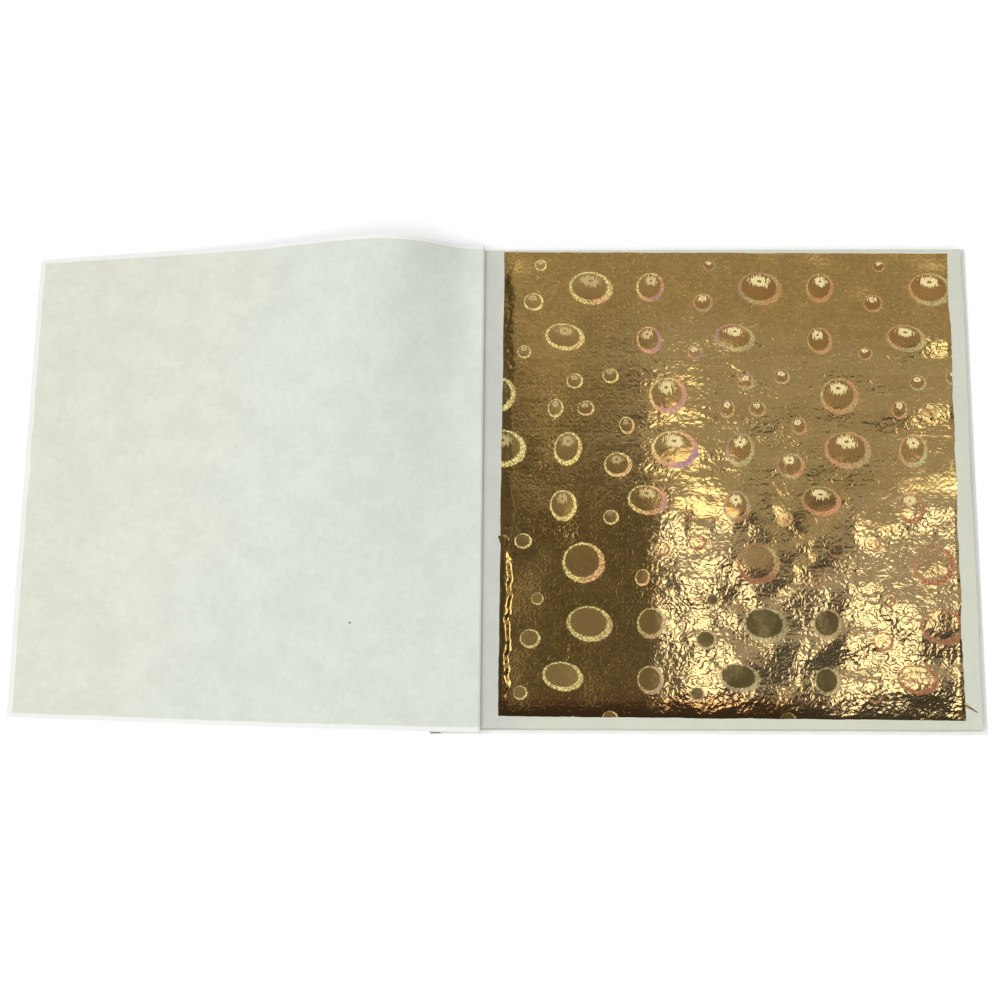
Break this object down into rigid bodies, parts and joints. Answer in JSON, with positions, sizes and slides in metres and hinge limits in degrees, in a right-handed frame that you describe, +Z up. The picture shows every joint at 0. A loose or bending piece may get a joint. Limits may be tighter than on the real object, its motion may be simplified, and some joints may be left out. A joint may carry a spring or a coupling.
{
  "type": "gold leaf booklet",
  "caption": "Booklet of loose gold-colour metal leaf between tissue sheets, stapled and glued in a folded paper cover, open at its first leaf.",
  "frame": {"origin": "on the underside of the back cover, on the fold line, halfway between head and foot", "axes": "+X from the fold line towards the fore edge, +Y towards the head, +Z up from the table"},
  "size_m": [0.1686, 0.0889, 0.0123],
  "materials": {
    "cover_paper": "smooth white wrapper paper, matt",
    "tissue_paper": "thin mottled wove tissue, pale cream to mint, with fine dark specks",
    "gold_leaf": "finely crinkled bright metal leaf with embossed drops and a holographic tint",
    "binding_glue": "dry brown glue",
    "staple_wire": "plain drawn wire"
  },
  "bodies": {
    "binding": {"back_cover": "cover_paper", "spine_glue": "binding_glue", "bound_margin": "tissue_paper", "staple_head": "staple_wire", "staple_foot": "staple_wire"},
    "front_cover": {"front_cover": "cover_paper"},
    "tissue_01": {"tissue_01": "tissue_paper"},
    "tissue_02": {"tissue_02": "tissue_paper"},
    "tissue_03": {"tissue_03": "tissue_paper"},
    "tissue_04": {"tissue_04": "tissue_paper"},
    "tissue_05": {"tissue_05": "tissue_paper"},
    "tissue_06": {"tissue_06": "tissue_paper"},
    "tissue_07": {"tissue_07": "tissue_paper"},
    "tissue_08": {"tissue_08": "tissue_paper"},
    "tissue_09": {"tissue_09": "tissue_paper"},
    "tissue_10": {"tissue_10": "tissue_paper"},
    "tissue_11": {"tissue_11": "tissue_paper"},
    "tissue_12": {"tissue_12": "tissue_paper"},
    "tissue_13": {"tissue_13": "tissue_paper"},
    "tissue_14": {"tissue_14": "tissue_paper"},
    "tissue_15": {"tissue_15": "tissue_paper"},
    "tissue_16": {"tissue_16": "tissue_paper"},
    "tissue_17": {"tissue_17": "tissue_paper"},
    "tissue_18": {"tissue_18": "tissue_paper"},
    "tissue_19": {"tissue_19": "tissue_paper"},
    "tissue_20": {"tissue_20": "tissue_paper"},
    "tissue_21": {"tissue_21": "tissue_paper"},
    "tissue_22": {"tissue_22": "tissue_paper"},
    "tissue_23": {"tissue_23": "tissue_paper"},
    "tissue_24": {"tissue_24": "tissue_paper"},
    "tissue_25": {"tissue_25": "tissue_paper"},
    "tissue_26": {"tissue_26": "tissue_paper"},
    "gold_leaf_01": {"gold_leaf_01": "gold_leaf"},
    "gold_leaf_02": {"gold_leaf_02": "gold_leaf"},
    "gold_leaf_03": {"gold_leaf_03": "gold_leaf"},
    "gold_leaf_04": {"gold_leaf_04": "gold_leaf"},
    "gold_leaf_05": {"gold_leaf_05": "gold_leaf"},
    "gold_leaf_06": {"gold_leaf_06": "gold_leaf"},
    "gold_leaf_07": {"gold_leaf_07": "gold_leaf"},
    "gold_leaf_08": {"gold_leaf_08": "gold_leaf"},
    "gold_leaf_09": {"gold_leaf_09": "gold_leaf"},
    "gold_leaf_10": {"gold_leaf_10": "gold_leaf"},
    "gold_leaf_11": {"gold_leaf_11": "gold_leaf"},
    "gold_leaf_12": {"gold_leaf_12": "gold_leaf"},
    "gold_leaf_13": {"gold_leaf_13": "gold_leaf"},
    "gold_leaf_14": {"gold_leaf_14": "gold_leaf"},
    "gold_leaf_15": {"gold_leaf_15": "gold_leaf"},
    "gold_leaf_16": {"gold_leaf_16": "gold_leaf"},
    "gold_leaf_17": {"gold_leaf_17": "gold_leaf"},
    "gold_leaf_18": {"gold_leaf_18": "gold_leaf"},
    "gold_leaf_19": {"gold_leaf_19": "gold_leaf"},
    "gold_leaf_20": {"gold_leaf_20": "gold_leaf"},
    "gold_leaf_21": {"gold_leaf_21": "gold_leaf"},
    "gold_leaf_22": {"gold_leaf_22": "gold_leaf"},
    "gold_leaf_23": {"gold_leaf_23": "gold_leaf"},
    "gold_leaf_24": {"gold_leaf_24": "gold_leaf"},
    "gold_leaf_25": {"gold_leaf_25": "gold_leaf"}
  },
  "joints": [
    {"name": "front_cover_turn", "type": "hinge", "parent": "binding", "child": "front_cover", "pos_m": [0, 0, 0.00232], "axis": [0, -1, 0], "range_deg": [-176, 0], "deforming": ["front_cover"]},
    {"name": "tissue_01_turn", "type": "hinge", "parent": "binding", "child": "tissue_01", "pos_m": [0, 0, 0.00232], "axis": [0, -1, 0], "range_deg": [-176, 0], "deforming": ["tissue_01"]},
    {"name": "tissue_02_turn", "type": "hinge", "parent": "binding", "child": "tissue_02", "pos_m": [0, 0, 0.00232], "axis": [0, -1, 0], "range_deg": [0, 155]},
    {"name": "tissue_03_turn", "type": "hinge", "parent": "binding", "child": "tissue_03", "pos_m": [0, 0, 0.00232], "axis": [0, -1, 0], "range_deg": [0, 150.4]},
    {"name": "tissue_04_turn", "type": "hinge", "parent": "binding", "child": "tissue_04", "pos_m": [0, 0, 0.00232], "axis": [0, -1, 0], "range_deg": [0, 145.6]},
    {"name": "tissue_05_turn", "type": "hinge", "parent": "binding", "child": "tissue_05", "pos_m": [0, 0, 0.00232], "axis": [0, -1, 0], "range_deg": [0, 140.8]},
    {"name": "tissue_06_turn", "type": "hinge", "parent": "binding", "child": "tissue_06", "pos_m": [0, 0, 0.00232], "axis": [0, -1, 0], "range_deg": [0, 136]},
    {"name": "tissue_07_turn", "type": "hinge", "parent": "binding", "child": "tissue_07", "pos_m": [0, 0, 0.00232], "axis": [0, -1, 0], "range_deg": [0, 131.2]},
    {"name": "tissue_08_turn", "type": "hinge", "parent": "binding", "child": "tissue_08", "pos_m": [0, 0, 0.00232], "axis": [0, -1, 0], "range_deg": [0, 126.4]},
    {"name": "tissue_09_turn", "type": "hinge", "parent": "binding", "child": "tissue_09", "pos_m": [0, 0, 0.00232], "axis": [0, -1, 0], "range_deg": [0, 121.7]},
    {"name": "tissue_10_turn", "type": "hinge", "parent": "binding", "child": "tissue_10", "pos_m": [0, 0, 0.00232], "axis": [0, -1, 0], "range_deg": [0, 116.9]},
    {"name": "tissue_11_turn", "type": "hinge", "parent": "binding", "child": "tissue_11", "pos_m": [0, 0, 0.00232], "axis": [0, -1, 0], "range_deg": [0, 112.1]},
    {"name": "tissue_12_turn", "type": "hinge", "parent": "binding", "child": "tissue_12", "pos_m": [0, 0, 0.00232], "axis": [0, -1, 0], "range_deg": [0, 107.3]},
    {"name": "tissue_13_turn", "type": "hinge", "parent": "binding", "child": "tissue_13", "pos_m": [0, 0, 0.00232], "axis": [0, -1, 0], "range_deg": [0, 102.5]},
    {"name": "tissue_14_turn", "type": "hinge", "parent": "binding", "child": "tissue_14", "pos_m": [0, 0, 0.00232], "axis": [0, -1, 0], "range_deg": [0, 97.7]},
    {"name": "tissue_15_turn", "type": "hinge", "parent": "binding", "child": "tissue_15", "pos_m": [0, 0, 0.00232], "axis": [0, -1, 0], "range_deg": [0, 92.9]},
    {"name": "tissue_16_turn", "type": "hinge", "parent": "binding", "child": "tissue_16", "pos_m": [0, 0, 0.00232], "axis": [0, -1, 0], "range_deg": [0, 88.1]},
    {"name": "tissue_17_turn", "type": "hinge", "parent": "binding", "child": "tissue_17", "pos_m": [0, 0, 0.00232], "axis": [0, -1, 0], "range_deg": [0, 83.3]},
    {"name": "tissue_18_turn", "type": "hinge", "parent": "binding", "child": "tissue_18", "pos_m": [0, 0, 0.00232], "axis": [0, -1, 0], "range_deg": [0, 78.5]},
    {"name": "tissue_19_turn", "type": "hinge", "parent": "binding", "child": "tissue_19", "pos_m": [0, 0, 0.00232], "axis": [0, -1, 0], "range_deg": [0, 73.7]},
    {"name": "tissue_20_turn", "type": "hinge", "parent": "binding", "child": "tissue_20", "pos_m": [0, 0, 0.00232], "axis": [0, -1, 0], "range_deg": [0, 68.9]},
    {"name": "tissue_21_turn", "type": "hinge", "parent": "binding", "child": "tissue_21", "pos_m": [0, 0, 0.00232], "axis": [0, -1, 0], "range_deg": [0, 64.2]},
    {"name": "tissue_22_turn", "type": "hinge", "parent": "binding", "child": "tissue_22", "pos_m": [0, 0, 0.00232], "axis": [0, -1, 0], "range_deg": [0, 59.4]},
    {"name": "tissue_23_turn", "type": "hinge", "parent": "binding", "child": "tissue_23", "pos_m": [0, 0, 0.00232], "axis": [0, -1, 0], "range_deg": [0, 54.6]},
    {"name": "tissue_24_turn", "type": "hinge", "parent": "binding", "child": "tissue_24", "pos_m": [0, 0, 0.00232], "axis": [0, -1, 0], "range_deg": [0, 49.8]},
    {"name": "tissue_25_turn", "type": "hinge", "parent": "binding", "child": "tissue_25", "pos_m": [0, 0, 0.00232], "axis": [0, -1, 0], "range_deg": [0, 45]},
    {"name": "tissue_26_turn", "type": "hinge", "parent": "binding", "child": "tissue_26", "pos_m": [0, 0, 0.00232], "axis": [0, -1, 0], "range_deg": [0, 40.2]},
    {"name": "gold_leaf_01_slide", "type": "slide", "parent": "tissue_02", "child": "gold_leaf_01", "axis": [1, 0, 0], "range_m": [0, 0.09]},
    {"name": "gold_leaf_02_slide", "type": "slide", "parent": "tissue_03", "child": "gold_leaf_02", "axis": [1, 0, 0], "range_m": [0, 0.09]},
    {"name": "gold_leaf_03_slide", "type": "slide", "parent": "tissue_04", "child": "gold_leaf_03", "axis": [1, 0, 0], "range_m": [0, 0.09]},
    {"name": "gold_leaf_04_slide", "type": "slide", "parent": "tissue_05", "child": "gold_leaf_04", "axis": [1, 0, 0], "range_m": [0, 0.09]},
    {"name": "gold_leaf_05_slide", "type": "slide", "parent": "tissue_06", "child": "gold_leaf_05", "axis": [1, 0, 0], "range_m": [0, 0.09]},
    {"name": "gold_leaf_06_slide", "type": "slide", "parent": "tissue_07", "child": "gold_leaf_06", "axis": [1, 0, 0], "range_m": [0, 0.09]},
    {"name": "gold_leaf_07_slide", "type": "slide", "parent": "tissue_08", "child": "gold_leaf_07", "axis": [1, 0, 0], "range_m": [0, 0.09]},
    {"name": "gold_leaf_08_slide", "type": "slide", "parent": "tissue_09", "child": "gold_leaf_08", "axis": [1, 0, 0], "range_m": [0, 0.09]},
    {"name": "gold_leaf_09_slide", "type": "slide", "parent": "tissue_10", "child": "gold_leaf_09", "axis": [1, 0, 0], "range_m": [0, 0.09]},
    {"name": "gold_leaf_10_slide", "type": "slide", "parent": "tissue_11", "child": "gold_leaf_10", "axis": [1, 0, 0], "range_m": [0, 0.09]},
    {"name": "gold_leaf_11_slide", "type": "slide", "parent": "tissue_12", "child": "gold_leaf_11", "axis": [1, 0, 0], "range_m": [0, 0.09]},
    {"name": "gold_leaf_12_slide", "type": "slide", "parent": "tissue_13", "child": "gold_leaf_12", "axis": [1, 0, 0], "range_m": [0, 0.09]},
    {"name": "gold_leaf_13_slide", "type": "slide", "parent": "tissue_14", "child": "gold_leaf_13", "axis": [1, 0, 0], "range_m": [0, 0.09]},
    {"name": "gold_leaf_14_slide", "type": "slide", "parent": "tissue_15", "child": "gold_leaf_14", "axis": [1, 0, 0], "range_m": [0, 0.09]},
    {"name": "gold_leaf_15_slide", "type": "slide", "parent": "tissue_16", "child": "gold_leaf_15", "axis": [1, 0, 0], "range_m": [0, 0.09]},
    {"name": "gold_leaf_16_slide", "type": "slide", "parent": "tissue_17", "child": "gold_leaf_16", "axis": [1, 0, 0], "range_m": [0, 0.09]},
    {"name": "gold_leaf_17_slide", "type": "slide", "parent": "tissue_18", "child": "gold_leaf_17", "axis": [1, 0, 0], "range_m": [0, 0.09]},
    {"name": "gold_leaf_18_slide", "type": "slide", "parent": "tissue_19", "child": "gold_leaf_18", "axis": [1, 0, 0], "range_m": [0, 0.09]},
    {"name": "gold_leaf_19_slide", "type": "slide", "parent": "tissue_20", "child": "gold_leaf_19", "axis": [1, 0, 0], "range_m": [0, 0.09]},
    {"name": "gold_leaf_20_slide", "type": "slide", "parent": "tissue_21", "child": "gold_leaf_20", "axis": [1, 0, 0], "range_m": [0, 0.09]},
    {"name": "gold_leaf_21_slide", "type": "slide", "parent": "tissue_22", "child": "gold_leaf_21", "axis": [1, 0, 0], "range_m": [0, 0.09]},
    {"name": "gold_leaf_22_slide", "type": "slide", "parent": "tissue_23", "child": "gold_leaf_22", "axis": [1, 0, 0], "range_m": [0, 0.09]},
    {"name": "gold_leaf_23_slide", "type": "slide", "parent": "tissue_24", "child": "gold_leaf_23", "axis": [1, 0, 0], "range_m": [0, 0.09]},
    {"name": "gold_leaf_24_slide", "type": "slide", "parent": "tissue_25", "child": "gold_leaf_24", "axis": [1, 0, 0], "range_m": [0, 0.09]},
    {"name": "gold_leaf_25_slide", "type": "slide", "parent": "tissue_26", "child": "gold_leaf_25", "axis": [1, 0, 0], "range_m": [0, 0.09]}
  ],
  "couplings": [
    {"joint": "tissue_01_turn", "follows": "front_cover_turn", "ratio": 1},
    {"joint": "tissue_03_turn", "follows": "tissue_02_turn", "ratio": 0.9691},
    {"joint": "tissue_04_turn", "follows": "tissue_02_turn", "ratio": 0.9382},
    {"joint": "tissue_05_turn", "follows": "tissue_02_turn", "ratio": 0.9073},
    {"joint": "tissue_06_turn", "follows": "tissue_02_turn", "ratio": 0.8763},
    {"joint": "tissue_07_turn", "follows": "tissue_02_turn", "ratio": 0.8454},
    {"joint": "tissue_08_turn", "follows": "tissue_02_turn", "ratio": 0.8145},
    {"joint": "tissue_09_turn", "follows": "tissue_02_turn", "ratio": 0.7836},
    {"joint": "tissue_10_turn", "follows": "tissue_02_turn", "ratio": 0.7527},
    {"joint": "tissue_11_turn", "follows": "tissue_02_turn", "ratio": 0.7218},
    {"joint": "tissue_12_turn", "follows": "tissue_02_turn", "ratio": 0.6909},
    {"joint": "tissue_13_turn", "follows": "tissue_02_turn", "ratio": 0.6599},
    {"joint": "tissue_14_turn", "follows": "tissue_02_turn", "ratio": 0.629},
    {"joint": "tissue_15_turn", "follows": "tissue_02_turn", "ratio": 0.5981},
    {"joint": "tissue_16_turn", "follows": "tissue_02_turn", "ratio": 0.5672},
    {"joint": "tissue_17_turn", "follows": "tissue_02_turn", "ratio": 0.5363},
    {"joint": "tissue_18_turn", "follows": "tissue_02_turn", "ratio": 0.5054},
    {"joint": "tissue_19_turn", "follows": "tissue_02_turn", "ratio": 0.4745},
    {"joint": "tissue_20_turn", "follows": "tissue_02_turn", "ratio": 0.4435},
    {"joint": "tissue_21_turn", "follows": "tissue_02_turn", "ratio": 0.4126},
    {"joint": "tissue_22_turn", "follows": "tissue_02_turn", "ratio": 0.3817},
    {"joint": "tissue_23_turn", "follows": "tissue_02_turn", "ratio": 0.3508},
    {"joint": "tissue_24_turn", "follows": "tissue_02_turn", "ratio": 0.3199},
    {"joint": "tissue_25_turn", "follows": "tissue_02_turn", "ratio": 0.289},
    {"joint": "tissue_26_turn", "follows": "tissue_02_turn", "ratio": 0.2581}
  ]
}
